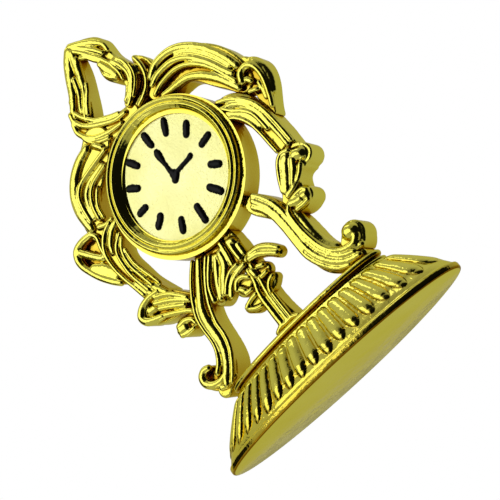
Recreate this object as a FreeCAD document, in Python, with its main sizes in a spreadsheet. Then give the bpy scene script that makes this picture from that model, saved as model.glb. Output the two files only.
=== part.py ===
import FreeCAD, Part
import math
import os

# Miniature rococo mantel clock, a single-sided casting standing on an oval base.
# Millimetres. +Z is up, the dial faces -Y, and the origin is the centre of the underside.

V = FreeCAD.Vector
doc = FreeCAD.newDocument("mantel_clock")

# ---------------------------------------------------------------- driving dimensions
sheet = doc.addObject("Spreadsheet::Sheet", "Dims")
dimensions = {
    "base_half_width": 14.2,      # oval foot, at the widest
    "base_half_depth": 5.2,
    "lip_top": 0.6,               # upright edge of the foot
    "flute_bottom": 1.9,
    "flute_top": 5.2,
    "neck_half_width": 9.7,       # where the dome ends under the rail
    "neck_half_depth": 3.3,
    "rail_half_width": 9.6,
    "rail_half_depth": 2.6,
    "rail_top": 6.2,
    "foot_swell": 0.25,           # how far the slope bulges beyond a straight line
    "flute_radius": 0.45,
    "flute_foot_sink": 0.66,      # a flute's middle dives under the slope at its lower end
    "flute_head_sink": 0.12,
    "foot_offset": 0.525,         # the foot stands a little right of the middle,
    "neck_shift": 0.25,           # its neck leans a little further right,
    "body_offset": -0.425,        # and the dial and scrolls a little left
    "dial_height": 25.4,          # centre of the dial
    "case_radius": 7.9,
    "case_drop": 0.2,             # the case sits a little low behind the bezel
    "case_front": -0.6,
    "case_back": 2.25,
    "bezel_radius": 7.6,
    "bezel_front": -1.23,
    "bezel_inner_radius": 6.35,
    "dial_front": -0.4,
    "dial_thickness": 0.5,
    "enamel_height": 0.22,
    "mark_width": 0.78,
    "scroll_front": -0.55,
    "scroll_depth": 3.1,
    "shoulder_depth": 2.8,        # the right shoulder is a little thinner than the rest
    "centre_depth": 2.5,
    "crest_front": -0.25,
    "crest_depth": 2.3,
    "sprig_front": -0.7,          # small buds and leaves round the middle stem
    "sprig_depth": 1.4,
    "edge_round": 0.25,
}
for row, (alias, value) in enumerate(dimensions.items(), start=1):
    sheet.set("A%d" % row, alias)
    sheet.set("B%d" % row, str(value))
    sheet.setAlias("B%d" % row, alias)
doc.recompute()


def dim(alias):
    return float(getattr(sheet, alias))


def bind(obj, **formulas):
    """Tie properties of an object to cells of the sheet."""
    for path, formula in formulas.items():
        obj.setExpression(path.replace("__", "."), formula)
    return obj


def origin_plane(body, role):
    return [f for f in body.Origin.OriginFeatures if f.Role == role][0]


def front_sketch(body, name):
    """A sketch seen from the front: its x is X and its y is Z."""
    sketch = body.newObject("Sketcher::SketchObject", name)
    sketch.AttachmentSupport = (origin_plane(body, "XZ_Plane"), [""])
    sketch.MapMode = "FlatFace"
    return sketch


# ---------------------------------------------------------------- outlines
def normals(stations):
    """Unit normal of the centreline at each station, by central differences."""
    result = []
    last = len(stations) - 1
    for i in range(len(stations)):
        ax, az = stations[max(i - 1, 0)][:2]
        bx, bz = stations[min(i + 1, last)][:2]
        length = math.hypot(bx - ax, bz - az)
        result.append((-(bz - az) / length, (bx - ax) / length))
    return result


def spline(points):
    curve = Part.BSplineCurve()
    curve.interpolate(points)
    return curve


def ribbon_outline(stations):
    """Closed outline of a strand: two flowing sides and two round ends."""
    left = []
    right = []
    for (x, z, half), (nx, nz) in zip(stations, normals(stations)):
        left.append(V(x + nx * half, z + nz * half, 0))
        right.append(V(x - nx * half, z - nz * half, 0))
    n_end = normals(stations)[-1]
    n_start = normals(stations)[0]
    xe, ze, he = stations[-1]
    xs, zs, hs = stations[0]
    tip = V(xe + n_end[1] * he, ze - n_end[0] * he, 0)
    tail = V(xs - n_start[1] * hs, zs + n_start[0] * hs, 0)
    return [
        spline(left),
        Part.Arc(left[-1], tip, right[-1]),
        spline(right),
        Part.Arc(right[0], tail, left[0]),
    ]


def leaf_outline(points):
    """Closed outline of a leaf through the given points, in two smooth halves."""
    vectors = [V(x, z, 0) for x, z in points]
    half = len(vectors) // 2
    return [spline(vectors[:half + 1]), spline(vectors[half:] + vectors[:1])]


def relief(name, outline, front, depth, rounded=True):
    """A piece of flat-backed relief: an outline padded from its front plane to the back."""
    body = doc.addObject("PartDesign::Body", name + "_body")
    sketch = front_sketch(body, name + "_outline")
    for edge in outline:
        sketch.addGeometry(edge, False)
    pad = body.newObject("PartDesign::Pad", name + "_pad")
    pad.Profile = sketch
    pad.Reversed = True
    bind(pad, Length=depth)
    bind(body, Placement__Base__x="Dims.body_offset", Placement__Base__y=front)
    doc.recompute()
    if rounded:
        fronts = [
            "Edge%d" % (i + 1)
            for i, edge in enumerate(pad.Shape.Edges)
            if edge.BoundBox.YMax < 1e-6 + pad.Shape.BoundBox.YMin
        ]
        fillet = body.newObject("PartDesign::Fillet", name + "_rounding")
        fillet.Base = (pad, fronts)
        bind(fillet, Radius="Dims.edge_round")
        doc.recompute()
        if "Invalid" in fillet.State or fillet.Shape.isNull() or not fillet.Shape.isValid():
            body.removeObject(fillet)
            doc.removeObject(fillet.Name)
            body.Tip = pad
            doc.recompute()
            print("sharp front edge kept on", name)
    return body


pieces = {}          # node name -> finished document object


def keep(name, obj):
    obj.Label = name
    pieces[name] = obj
    return obj


def cut_back(name, obj, neighbours):
    """Trim a piece against the pieces it grows out of, so that they meet face to face."""
    near = [n for n in neighbours if n.Shape.BoundBox.intersect(obj.Shape.BoundBox)]
    for n, other in enumerate(near):
        if obj.Shape.common(other.Shape).Volume < 1e-6:
            continue
        trimmed = doc.addObject("Part::Cut", "%s_trim%d" % (name, n))
        trimmed.Base = obj
        trimmed.Tool = other
        doc.recompute()
        obj = trimmed
    return obj


# ---------------------------------------------------------------- oval foot
def oval(name, half_width, half_depth, height, share=0.0):
    ring = doc.addObject("Part::Ellipse", name)
    return bind(ring, MajorRadius=half_width, MinorRadius=half_depth, Placement__Base__z=height,
                Placement__Base__x="Dims.foot_offset + Dims.neck_shift * %.4f" % share)


def dome(share):
    """Formulas of the foot's half sizes and height at a share (0 lip, 1 neck) of its slope."""
    swell = 4 * share * (1 - share)
    wide = "Dims.base_half_width + (Dims.neck_half_width - Dims.base_half_width) * %.4f" % share
    deep = "Dims.base_half_depth + (Dims.neck_half_depth - Dims.base_half_depth) * %.4f" % share
    height = "Dims.lip_top + (Dims.flute_top - Dims.lip_top) * %.4f" % share
    bulge = " + Dims.foot_swell * %.4f" % swell
    return wide + bulge, deep + bulge, height


def dome_point(angle, share):
    """Point on the foot's slope at an angle round the oval."""
    swell = dim("foot_swell") * 4 * share * (1 - share)
    a = dim("base_half_width") + (dim("neck_half_width") - dim("base_half_width")) * share + swell
    b = dim("base_half_depth") + (dim("neck_half_depth") - dim("base_half_depth")) * share + swell
    z = dim("lip_top") + (dim("flute_top") - dim("lip_top")) * share
    middle = dim("foot_offset") + dim("neck_shift") * share
    return V(middle + a * math.cos(angle), b * math.sin(angle), z)


lip_rings = [
    oval("foot_under", "Dims.base_half_width", "Dims.base_half_depth", "0"),
    oval("foot_lip", "Dims.base_half_width", "Dims.base_half_depth", "Dims.lip_top"),
]
lip = doc.addObject("Part::Loft", "foot_edge")
lip.Sections = lip_rings
lip.Solid = True
lip.Ruled = True

DOME_SHARES = (0.0, 0.33, 0.67, 1.0)
dome_rings = [oval("dome_%d" % i, *dome(share), share) for i, share in enumerate(DOME_SHARES)]
hill = doc.addObject("Part::Loft", "foot_dome")
hill.Sections = dome_rings
hill.Solid = True
hill.Ruled = False
doc.recompute()

FLUTES = 36
SAMPLES = 720


def even_angles(count):
    """Angles that share the oval's edge into equal lengths, the first at the right end."""
    points = [dome_point(2 * math.pi * i / SAMPLES, 0.6) for i in range(SAMPLES + 1)]
    run = [0.0]
    for p, q in zip(points, points[1:]):
        run.append(run[-1] + p.distanceToPoint(q))
    angles = []
    for k in range(count):
        target = run[-1] * (k + 0.5) / count
        i = next(j for j in range(SAMPLES) if run[j + 1] >= target)
        angles.append(2 * math.pi * (i + (target - run[i]) / (run[i + 1] - run[i])) / SAMPLES)
    return angles


flutes = []
flute_foot = (dim("flute_bottom") - dim("lip_top")) / (dim("flute_top") - dim("lip_top"))
for number, angle in enumerate(even_angles(FLUTES)):
    low = dome_point(angle, flute_foot)
    high = dome_point(angle, 0.97)
    inward = V(low.x - dim("foot_offset"), low.y, 0).normalize()
    foot = low - inward * dim("flute_foot_sink")
    head = high - inward * dim("flute_head_sink")
    axis = head - foot
    flute = doc.addObject("Part::Cone", "flute_%02d" % number)
    flute.Placement = FreeCAD.Placement(foot, FreeCAD.Rotation(V(0, 0, 1), axis))
    flute.Height = axis.Length
    bind(flute, Radius1="Dims.flute_radius * 0.95", Radius2="Dims.flute_radius")
    flutes.append(flute)

plinth = doc.addObject("Part::MultiFuse", "plinth_with_flutes")
plinth.Shapes = [lip, hill] + flutes
doc.recompute()
keep("base_plinth", plinth)

rail_rings = [
    oval("rail_low", "Dims.rail_half_width", "Dims.rail_half_depth", "Dims.flute_top", 1.0),
    oval("rail_mid", "Dims.rail_half_width", "Dims.rail_half_depth", "Dims.rail_top - 0.6", 1.0),
    oval("rail_rim", "Dims.rail_half_width - 0.3", "Dims.rail_half_depth - 0.3", "Dims.rail_top - 0.4",
         1.0),
    oval("rail_top_edge", "Dims.rail_half_width - 0.5", "Dims.rail_half_depth - 0.5", "Dims.rail_top",
         1.0),
]
rail = doc.addObject("Part::Loft", "rail")
rail.Sections = rail_rings
rail.Solid = True
rail.Ruled = True
doc.recompute()
keep("base_rail", cut_back("base_rail", rail, [plinth]))


# ---------------------------------------------------------------- dial and its case
def disc(name, radius, front, length, height="Dims.dial_height"):
    """A round plate facing forward, with its front face on the given plane."""
    plate = doc.addObject("Part::Cylinder", name)
    plate.Placement = FreeCAD.Placement(V(0, 0, 0), FreeCAD.Rotation(V(1, 0, 0), -90))
    bind(plate, Radius=radius, Height=length)
    bind(plate, Placement__Base__x="Dims.body_offset", Placement__Base__y=front,
         Placement__Base__z=height)
    return plate


def pierced(name, outer, inner):
    ring = doc.addObject("Part::Cut", name)
    ring.Base = outer
    ring.Tool = inner
    return ring


case_disc = disc("case_disc", "Dims.case_radius", "Dims.case_front", "Dims.case_back - Dims.case_front",
                 "Dims.dial_height - Dims.case_drop")
case_seat = disc("case_seat", "Dims.bezel_inner_radius", "Dims.case_front",
                 "Dims.dial_front + Dims.dial_thickness - Dims.case_front")
keep("dial_case", pierced("dial_case", case_disc, case_seat))

bezel_outer = disc("bezel_outer", "Dims.bezel_radius", "Dims.bezel_front",
                   "Dims.case_front - Dims.bezel_front")
bezel_inner = disc("bezel_inner", "Dims.bezel_inner_radius", "Dims.bezel_front",
                   "Dims.case_front - Dims.bezel_front")
bezel_blank = pierced("bezel_blank", bezel_outer, bezel_inner)
groove = doc.addObject("Part::Torus", "bezel_groove")
groove.Placement = FreeCAD.Placement(V(0, 0, 0), FreeCAD.Rotation(V(1, 0, 0), -90))
bind(groove, Radius1="(Dims.bezel_radius + Dims.bezel_inner_radius) / 2", Radius2="0.2 mm")
bind(groove, Placement__Base__x="Dims.body_offset", Placement__Base__y="Dims.bezel_front",
     Placement__Base__z="Dims.dial_height")
keep("bezel", pierced("bezel", bezel_blank, groove))

keep("dial_plate", disc("dial_plate", "Dims.bezel_inner_radius", "Dims.dial_front", "Dims.dial_thickness"))
doc.recompute()

enamel_front = "Dims.dial_front - Dims.enamel_height"
# The inner and outer end of each hand-painted mark, from the dial's middle, from twelve o'clock on.
MARK_ENDS = [
    ((0.07, 3.66), (0.07, 5.66)), ((1.87, 3.36), (2.77, 5.06)), ((3.37, 1.66), (4.47, 2.96)),
    ((3.87, -0.04), (5.57, 0.16)), ((3.37, -1.94), (4.57, -2.94)), ((1.97, -3.34), (2.97, -5.04)),
    ((-0.03, -3.74), (-0.2, -5.94)), ((-1.93, -3.44), (-2.83, -4.94)), ((-3.43, -1.74), (-4.73, -2.64)),
    ((-4.03, -0.04), (-5.53, -0.04)), ((-3.53, 1.76), (-4.83, 2.86)), ((-2.23, 3.36), (-3.13, 4.96)),
]


def mark_stations(inner, outer):
    """Three stations of a mark whose round ends reach the two given points."""
    half = dim("mark_width") / 2
    length = math.hypot(outer[0] - inner[0], outer[1] - inner[1])
    stations = []
    for share in (half / length, 0.5, 1 - half / length):
        x = inner[0] + (outer[0] - inner[0]) * share
        z = inner[1] + (outer[1] - inner[1]) * share
        stations.append((x, dim("dial_height") + z, half))
    return stations


marks = []
for hour, (inner, outer) in enumerate(MARK_ENDS):
    outline = ribbon_outline(mark_stations(inner, outer))
    marks.append(relief("mark_%02d" % hour, outline, enamel_front, "Dims.enamel_height", False))
mark_group = doc.addObject("Part::Compound", "hour_mark_group")
mark_group.Links = marks
keep("hour_marks", mark_group)

Z0 = dim("dial_height")
hub = relief("hub", leaf_outline([(-0.45, Z0 - 0.75), (0.1, Z0 - 0.8), (0.8, Z0 - 0.3), (0.8, Z0 + 0.25),
                                  (0.25, Z0 + 0.8), (-0.1, Z0 + 1.0), (-0.45, Z0 + 0.6), (-0.5, Z0)]),
             enamel_front, "Dims.enamel_height", False)
keep("hand_hub", hub)
minute = relief("minute", ribbon_outline([(0, Z0 + 0.6, 0.26), (0, Z0 + 1.7, 0.28), (0, Z0 + 2.4, 0.42),
                                          (0, Z0 + 3.1, 0.38)]), enamel_front, "Dims.enamel_height", False)
keep("minute_hand", cut_back("minute_hand", minute, [hub]))
hour = relief("hour", ribbon_outline([(0.5, Z0, 0.26), (1.6, Z0, 0.26), (2.3, Z0, 0.3), (2.6, Z0, 0.33)]),
              enamel_front, "Dims.enamel_height", False)
keep("hour_hand", cut_back("hour_hand", hour, [hub]))

# ---------------------------------------------------------------- scrollwork
# Each strand is a list of stations along its middle: x, height and half width.
LEGS = {
    "leg_right": [(3.9, 18.2, 0.6), (4.75, 16.95, 1.05), (5.7, 15.35, 0.95), (6.15, 13.2, 1.1),
                  (6.2, 11.4, 1.2), (6.4, 9.9, 1.2), (7.0, 8.35, 1.3), (8.2, 7.25, 1.05), (9.1, 6.8, 0.7)],
    "leg_left": [(-2.9, 18.4, 0.6), (-3.8, 17.15, 0.5), (-5.5, 15.2, 0.9), (-6.4, 13.2, 0.9),
                 (-6.65, 11.4, 0.88), (-6.8, 9.8, 0.9), (-7.45, 8.35, 1.1), (-8.5, 7.3, 1.0),
                 (-9.1, 6.75, 0.8)],
}
SCROLLS = {
    "foot_curl_right": [(8.3, 7.9, 0.7), (9.4, 8.2, 1.2), (9.95, 8.7, 1.15)],
    "foot_curl_left": [(-8.3, 7.5, 0.75), (-9.1, 7.95, 1.1), (-9.75, 8.65, 1.15)],
    "side_spray_left": [(-8.5, 27.2, 0.6), (-9.5, 25.9, 0.9), (-10.2, 24.2, 0.9), (-10.1, 22.3, 1.0),
                        (-9.75, 20.45, 1.0), (-9.25, 18.8, 1.1), (-8.6, 17.8, 0.9)],
    "mid_leaf_right": [(7.0, 15.2, 0.5), (8.3, 16.0, 1.15), (9.25, 17.3, 1.25), (10.5, 17.7, 1.35),
                       (10.95, 17.45, 1.05)],
    "mid_leaf_left": [(-6.2, 15.3, 0.5), (-7.7, 16.25, 1.15), (-9.15, 17.05, 1.55), (-10.35, 17.5, 1.5),
                      (-11.25, 17.75, 1.15)],
    "knee_bud_right": [(6.9, 14.4, 0.5), (7.8, 14.35, 0.85), (8.7, 14.5, 0.9)],
    "knee_bud_left": [(-6.7, 13.9, 0.6), (-7.8, 13.8, 0.95), (-8.65, 13.95, 1.0)],
    "upper_spray_left": [(-4.7, 34.6, 1.75), (-6.2, 33.5, 1.95), (-7.95, 32.6, 2.05), (-9.3, 31.1, 1.8),
                         (-10.0, 29.4, 1.3), (-10.2, 28.0, 1.2), (-10.0, 27.0, 1.0)],
}
SHOULDER = {
    "side_spray_right": [(7.6, 26.6, 1.0), (9.0, 25.5, 1.35), (9.75, 24.1, 1.3), (10.15, 22.2, 1.15),
                         (10.25, 20.4, 1.1), (10.3, 18.9, 1.0)],
    "upper_spray_right": [(4.7, 33.6, 2.0), (6.45, 33.4, 2.1), (8.2, 32.5, 1.85), (9.85, 30.3, 1.9),
                          (10.7, 28.3, 1.6), (10.95, 27.0, 1.25)],
    "shoulder_curl_right": [(11.85, 27.8, 1.1), (12.3, 26.75, 1.4), (12.15, 25.2, 1.1), (11.65, 23.9, 0.75),
                            (11.25, 22.6, 0.4)],
}
CREST = {
    "crest_collar_left": [(-5.3, 38.8, 0.4), (-5.2, 37.2, 0.8), (-4.5, 35.9, 1.1), (-3.1, 34.9, 1.2),
                          (-1.5, 34.15, 1.15), (0.2, 33.9, 1.0)],
    "crest_collar_right": [(3.85, 37.9, 0.4), (4.1, 37.0, 0.75), (4.0, 35.6, 0.9), (3.3, 34.5, 1.05),
                           (2.0, 33.9, 1.1), (0.9, 33.7, 0.95)],
    "crest_strand_right": [(-0.6, 44.3, 0.45), (0.45, 43.05, 1.05), (1.45, 41.9, 1.1), (1.75, 40.2, 0.8),
                           (2.05, 38.8, 0.85), (2.45, 37.4, 1.0), (2.55, 36.3, 1.15), (1.95, 35.45, 1.1),
                           (0.9, 34.8, 0.85)],
    "crest_strand_left": [(-0.95, 44.4, 0.6), (-1.5, 43.4, 0.85), (-2.15, 42.0, 1.15), (-3.0, 40.2, 1.25),
                          (-3.85, 38.75, 1.4), (-4.5, 37.4, 1.3)],
    "crest_bud": [(0.85, 40.0, 0.6), (0.85, 39.0, 0.7), (1.2, 38.0, 0.6)],
}
CENTRE = {
    "centre_stem": [(0.0, 6.6, 1.3), (0.05, 7.9, 0.95), (-0.05, 10.2, 0.85), (0.1, 11.6, 0.8),
                    (0.3, 13.0, 0.8), (0.5, 14.4, 0.6)],
    "upper_stem": [(0.5, 14.4, 0.6), (0.55, 16.0, 0.6), (0.4, 17.4, 0.65), (0.1, 18.6, 0.7)],
}
SPRIGS = {
    "horn_right": [(0.7, 14.0, 0.5), (2.0, 13.85, 0.65), (2.95, 13.15, 0.65), (3.45, 12.5, 0.6)],
    "horn_left": [(0.1, 14.2, 0.4), (-1.2, 14.0, 0.5), (-2.2, 13.5, 0.5), (-3.0, 12.7, 0.4)],
    "stem_bud_left": [(-0.3, 12.6, 0.6), (-1.0, 12.6, 0.85), (-1.4, 12.4, 0.9)],
    "stem_bud_right": [(0.8, 12.4, 0.6), (1.2, 12.3, 0.75), (1.35, 12.2, 0.75)],
    "stem_leaf_left": [(-0.5, 10.4, 0.6), (-1.4, 10.35, 0.8), (-2.0, 10.6, 0.6)],
    "stem_leaf_right": [(0.5, 10.5, 0.5), (1.3, 10.8, 0.55), (1.7, 11.0, 0.45)],
}
LEAVES = {
    "shoulder_leaf_left": [(-10.7, 27.7), (-12.05, 28.5), (-13.4, 28.45), (-14.15, 27.7), (-14.3, 26.6),
                           (-13.85, 25.2), (-13.15, 23.8), (-12.3, 22.6), (-10.9, 21.6), (-10.4, 23.6),
                           (-10.4, 25.6)],
}
WEBS = {
    "web_leaf": [(-4.9, 13.3), (-4.6, 15.2), (-3.2, 17.2), (-1.6, 18.4), (0.2, 18.3), (0.4, 16.6),
                 (-0.3, 14.6), (-1.6, 13.9), (-2.9, 13.1), (-4.1, 12.7)],
}

standing = [rail, plinth, case_disc, bezel_outer]
SCROLL_PLANES = ("Dims.scroll_front", "Dims.scroll_depth")
SHOULDER_PLANES = ("Dims.scroll_front", "Dims.shoulder_depth")
CENTRE_PLANES = ("Dims.scroll_front", "Dims.centre_depth")
CREST_PLANES = ("Dims.crest_front", "Dims.crest_depth")
SPRIG_PLANES = ("Dims.sprig_front", "Dims.sprig_depth")


def grow(names, planes):
    for name, run in names.items():
        is_leaf = name in LEAVES or name in WEBS
        outline = leaf_outline(run) if is_leaf else ribbon_outline(run)
        wide_enough = is_leaf or min(half for _, _, half in run) > 1.2 * dim("edge_round")
        blank = relief(name, outline, *planes, rounded=wide_enough)
        piece = cut_back(name, blank, standing)
        standing.append(blank)
        keep(name, piece)


grow(LEGS, SCROLL_PLANES)
grow(SCROLLS, SCROLL_PLANES)
grow(SHOULDER, SHOULDER_PLANES)
grow(CREST, CREST_PLANES)
grow(CENTRE, CENTRE_PLANES)
grow(SPRIGS, SPRIG_PLANES)
grow(LEAVES, SCROLL_PLANES)
grow(WEBS, CENTRE_PLANES)
doc.recompute()

# ---------------------------------------------------------------- checks and export
for obj in doc.Objects:
    if "Invalid" in obj.State or "Error" in obj.State:
        raise RuntimeError("%s is %s" % (obj.Label, obj.State))
os.makedirs("parts", exist_ok=True)
for name, obj in pieces.items():
    shape = obj.Shape
    if shape.isNull() or not shape.isValid():
        raise RuntimeError("bad shape " + name)
    box = shape.BoundBox
    print("%-22s solids %2d  vol %8.2f  x %6.2f %6.2f  y %5.2f %5.2f  z %5.2f %5.2f" % (
        name, len(shape.Solids), shape.Volume, box.XMin, box.XMax, box.YMin, box.YMax, box.ZMin, box.ZMax))
    shape.exportStep("parts/%s.step" % name)
print(len(pieces), "pieces")
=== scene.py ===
import math

import bpy
import numpy as np
from mathutils import Matrix, Vector


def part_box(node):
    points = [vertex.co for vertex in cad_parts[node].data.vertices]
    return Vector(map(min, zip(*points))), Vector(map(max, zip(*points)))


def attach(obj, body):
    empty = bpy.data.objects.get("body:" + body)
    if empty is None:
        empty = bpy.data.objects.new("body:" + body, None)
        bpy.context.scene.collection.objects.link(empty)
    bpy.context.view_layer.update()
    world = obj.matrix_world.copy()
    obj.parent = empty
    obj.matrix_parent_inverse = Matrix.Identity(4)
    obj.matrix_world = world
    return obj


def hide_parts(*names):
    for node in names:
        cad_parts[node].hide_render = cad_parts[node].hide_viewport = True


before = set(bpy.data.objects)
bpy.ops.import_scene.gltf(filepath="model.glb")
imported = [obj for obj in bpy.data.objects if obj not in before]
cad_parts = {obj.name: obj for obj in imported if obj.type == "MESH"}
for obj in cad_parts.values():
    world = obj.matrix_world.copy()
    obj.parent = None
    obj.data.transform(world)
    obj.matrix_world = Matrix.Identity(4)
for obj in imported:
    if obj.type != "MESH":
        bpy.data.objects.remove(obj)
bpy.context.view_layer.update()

MM = 0.001
scene = bpy.context.scene

# ------------------------------------------------------------ places taken from the frame, in mm
def box_mm(node):
    low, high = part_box(node)
    return np.array(low) / MM, np.array(high) / MM


plinth_low, plinth_high = box_mm("base_plinth")
bezel_low, bezel_high = box_mm("bezel")
plate_low, plate_high = box_mm("dial_plate")
case_low, case_high = box_mm("dial_case")
DIAL_X = (bezel_low[0] + bezel_high[0]) / 2
DIAL_Z = (bezel_low[2] + bezel_high[2]) / 2
DIAL_FLOOR = plate_low[1]

# ------------------------------------------------------------ mesh helpers
SHARP_ANGLE = math.radians(38)   # faces that meet at more than this are shaded with an edge
CAP_STEPS = 4                    # steps in the rounding of a strand's end
EASE = 1.0                       # depth over which a moved-back front fades into its node, mm


def new_object(name, verts, faces, material, smooth=True):
    mesh = bpy.data.meshes.new(name)
    mesh.from_pydata([tuple(v) for v in verts], [], [tuple(f) for f in faces])
    mesh.validate()
    mesh.update()
    obj = bpy.data.objects.new(name, mesh)
    scene.collection.objects.link(obj)
    mesh.materials.append(material)
    mesh.polygons.foreach_set("use_smooth", [smooth] * len(mesh.polygons))
    if smooth:
        mesh.set_sharp_from_angle(angle=SHARP_ANGLE)
    return obj


def curve_through(points, per_span):
    """Smooth (Catmull-Rom) curve through rows of numbers, per_span steps from each to the next."""
    p = np.array(points, float)
    p = np.vstack([2 * p[0] - p[1], p, 2 * p[-1] - p[-2]])
    out = []
    for i in range(1, len(p) - 2):
        for k in range(per_span):
            t = k / per_span
            a, b, c, d = p[i - 1], p[i], p[i + 1], p[i + 2]
            out.append(0.5 * (2 * b + (c - a) * t + (2 * a - 5 * b + 4 * c - d) * t ** 2
                              + (3 * b - a - 3 * c + d) * t ** 3))
    out.append(p[-2])
    return np.array(out)


def side_vectors(path):
    """Unit directions along a path and across it, in x and z."""
    along = np.gradient(path[:, :2], axis=0)
    along /= np.maximum(np.linalg.norm(along, axis=1), 1e-9)[:, None]
    return along, np.stack([-along[:, 1], along[:, 0]], 1)


def skin_faces(rings, around):
    """Faces of a closed skin: quads from ring to ring, then a fan to each of two end points."""
    faces = []
    for i in range(rings - 1):
        for j in range(around):
            k = (j + 1) % around
            faces.append((i * around + j, i * around + k, (i + 1) * around + k, (i + 1) * around + j))
    first, last = rings * around, rings * around + 1
    for j in range(around):
        k = (j + 1) % around
        faces.append((first, k, j))
        faces.append((last, (rings - 1) * around + j, (rings - 1) * around + k))
    return faces


def tube(path, around):
    """Closed strand with rounded ends. Rows of path: x, z, half width, y of the crest, half depth."""
    along, across = side_vectors(path)
    turn = np.linspace(0, 2 * np.pi, around, endpoint=False)

    def ring(row, share, reach):
        """Ring at a row of the path, shrunk to a share of its size and moved on by reach half widths."""
        x, z, half, crest, deep = path[row]
        wide = np.cos(turn) * half * share
        return np.stack([x + across[row][0] * wide + along[row][0] * half * reach,
                         crest + deep - np.sin(turn) * deep * share,
                         z + across[row][1] * wide + along[row][1] * half * reach], 1)

    bend = [step / CAP_STEPS * np.pi / 2 for step in range(1, CAP_STEPS)]
    head = [ring(0, math.cos(a), -math.sin(a)) for a in reversed(bend)]
    tail = [ring(-1, math.cos(a), math.sin(a)) for a in bend]
    rings = head + [ring(row, 1, 0) for row in range(len(path))] + tail
    tips = [ring(0, 0, -1)[:1], ring(-1, 0, 1)[:1]]
    return np.vstack(rings + tips), skin_faces(len(rings), around)


def merge(parts):
    """One list of vertices and faces from several."""
    verts, faces, start = [], [], 0
    for v, f in parts:
        verts.append(np.asarray(v, float))
        faces += [tuple(int(i) + start for i in face) for face in f]
        start += len(v)
    return np.vstack(verts), faces


def cad_copy(node, drop):
    """Vertices (mm) and faces of a copy of a CAD node, its front face moved back by drop."""
    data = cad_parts[node].data
    verts = np.zeros(len(data.vertices) * 3)
    data.vertices.foreach_get("co", verts)
    verts = verts.reshape(-1, 3) / MM
    nearness = (verts[:, 1].min() + EASE - verts[:, 1]) / EASE
    verts[:, 1] += drop * np.clip(nearness, 0, 1)
    return verts, [tuple(p.vertices) for p in data.polygons]


def soften(name, parts, material, voxel, passes):
    """One closed skin, voxel mm fine, round overlapping closed shells, smoothed as a casting is."""
    verts, faces = merge(parts)
    obj = new_object(name, verts, faces, material)
    remesh = obj.modifiers.new("skin", "REMESH")
    remesh.mode = "VOXEL"
    remesh.voxel_size = voxel
    remesh.use_smooth_shade = True
    smooth = obj.modifiers.new("soft", "SMOOTH")
    smooth.factor = 0.5
    smooth.iterations = passes
    graph = bpy.context.evaluated_depsgraph_get()
    skin = bpy.data.meshes.new_from_object(obj.evaluated_get(graph))
    obj.modifiers.clear()
    obj.data = skin
    obj.data.transform(Matrix.Scale(MM, 4))
    obj.data.polygons.foreach_set("use_smooth", [True] * len(obj.data.polygons))
    return obj


def finish_piece(obj, *nodes, slot="gold_plate"):
    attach(obj, "root")
    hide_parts(*nodes)


# ------------------------------------------------------------ materials
EDGE_TINT = (0.96, 0.90, 0.50, 1)
# samples of the painted shade in hollows
PAINTED_SHADE_SAMPLES = 6
CLOUD_SCALE = 140.0
WEAR_SCALE = 320.0
WEAR_SPAN = (0.35, 0.7)          # values of the wear noise that give the lowest and highest roughness
GRAIN_DEPTH = 0.00012            # metres
ORANGE_PEEL = 0.00006            # depth of the enamel's unevenness, metres


def new_material(name):
    m = bpy.data.materials.new(name)
    m.use_nodes = True
    nodes, links = m.node_tree.nodes, m.node_tree.links
    return m, nodes, links, nodes["Principled BSDF"]


def noise_node(nodes, links, coords, scale, detail, rough=0.5):
    n = nodes.new("ShaderNodeTexNoise")
    n.inputs["Scale"].default_value = scale
    n.inputs["Detail"].default_value = detail
    n.inputs["Roughness"].default_value = rough
    links.new(coords, n.inputs["Vector"])
    return n


def ramp(nodes, links, source, stops):
    """Colour by value, from rows of (value, colour)."""
    r = nodes.new("ShaderNodeValToRGB")
    r.color_ramp.elements[0].position, r.color_ramp.elements[0].color = stops[0]
    r.color_ramp.elements[1].position, r.color_ramp.elements[1].color = stops[-1]
    for position, colour in stops[1:-1]:
        r.color_ramp.elements.new(position).color = colour
    links.new(source, r.inputs["Fac"])
    return r


def multiplied(nodes, links, one, other):
    """The product of two colours."""
    mix = nodes.new("ShaderNodeMix")
    mix.data_type = "RGBA"
    mix.blend_type = "MULTIPLY"
    mix.inputs["Factor"].default_value = 1.0
    links.new(one, mix.inputs[6])
    links.new(other, mix.inputs[7])
    return mix.outputs[2]


def painted_hollow_shade(nodes, links, colour, distance, stops):
    """Painted shade: the colour darkened by how closed in a point is, within a distance."""
    hollow = nodes.new("ShaderNodeAmbientOcclusion")
    hollow.samples = PAINTED_SHADE_SAMPLES
    hollow.inputs["Distance"].default_value = distance
    shade = ramp(nodes, links, hollow.outputs["AO"], stops)
    return multiplied(nodes, links, colour, shade.outputs["Color"])


def add_relief(nodes, links, coords, shader, noise, strength, depth):
    """Fine unevenness of a surface; noise is its scale, detail and roughness, depth is in metres."""
    ripple = noise_node(nodes, links, coords, *noise)
    relief = nodes.new("ShaderNodeBump")
    relief.inputs["Strength"].default_value = strength
    relief.inputs["Distance"].default_value = depth
    links.new(ripple.outputs["Fac"], relief.inputs["Height"])
    links.new(relief.outputs["Normal"], shader.inputs["Normal"])


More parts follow.
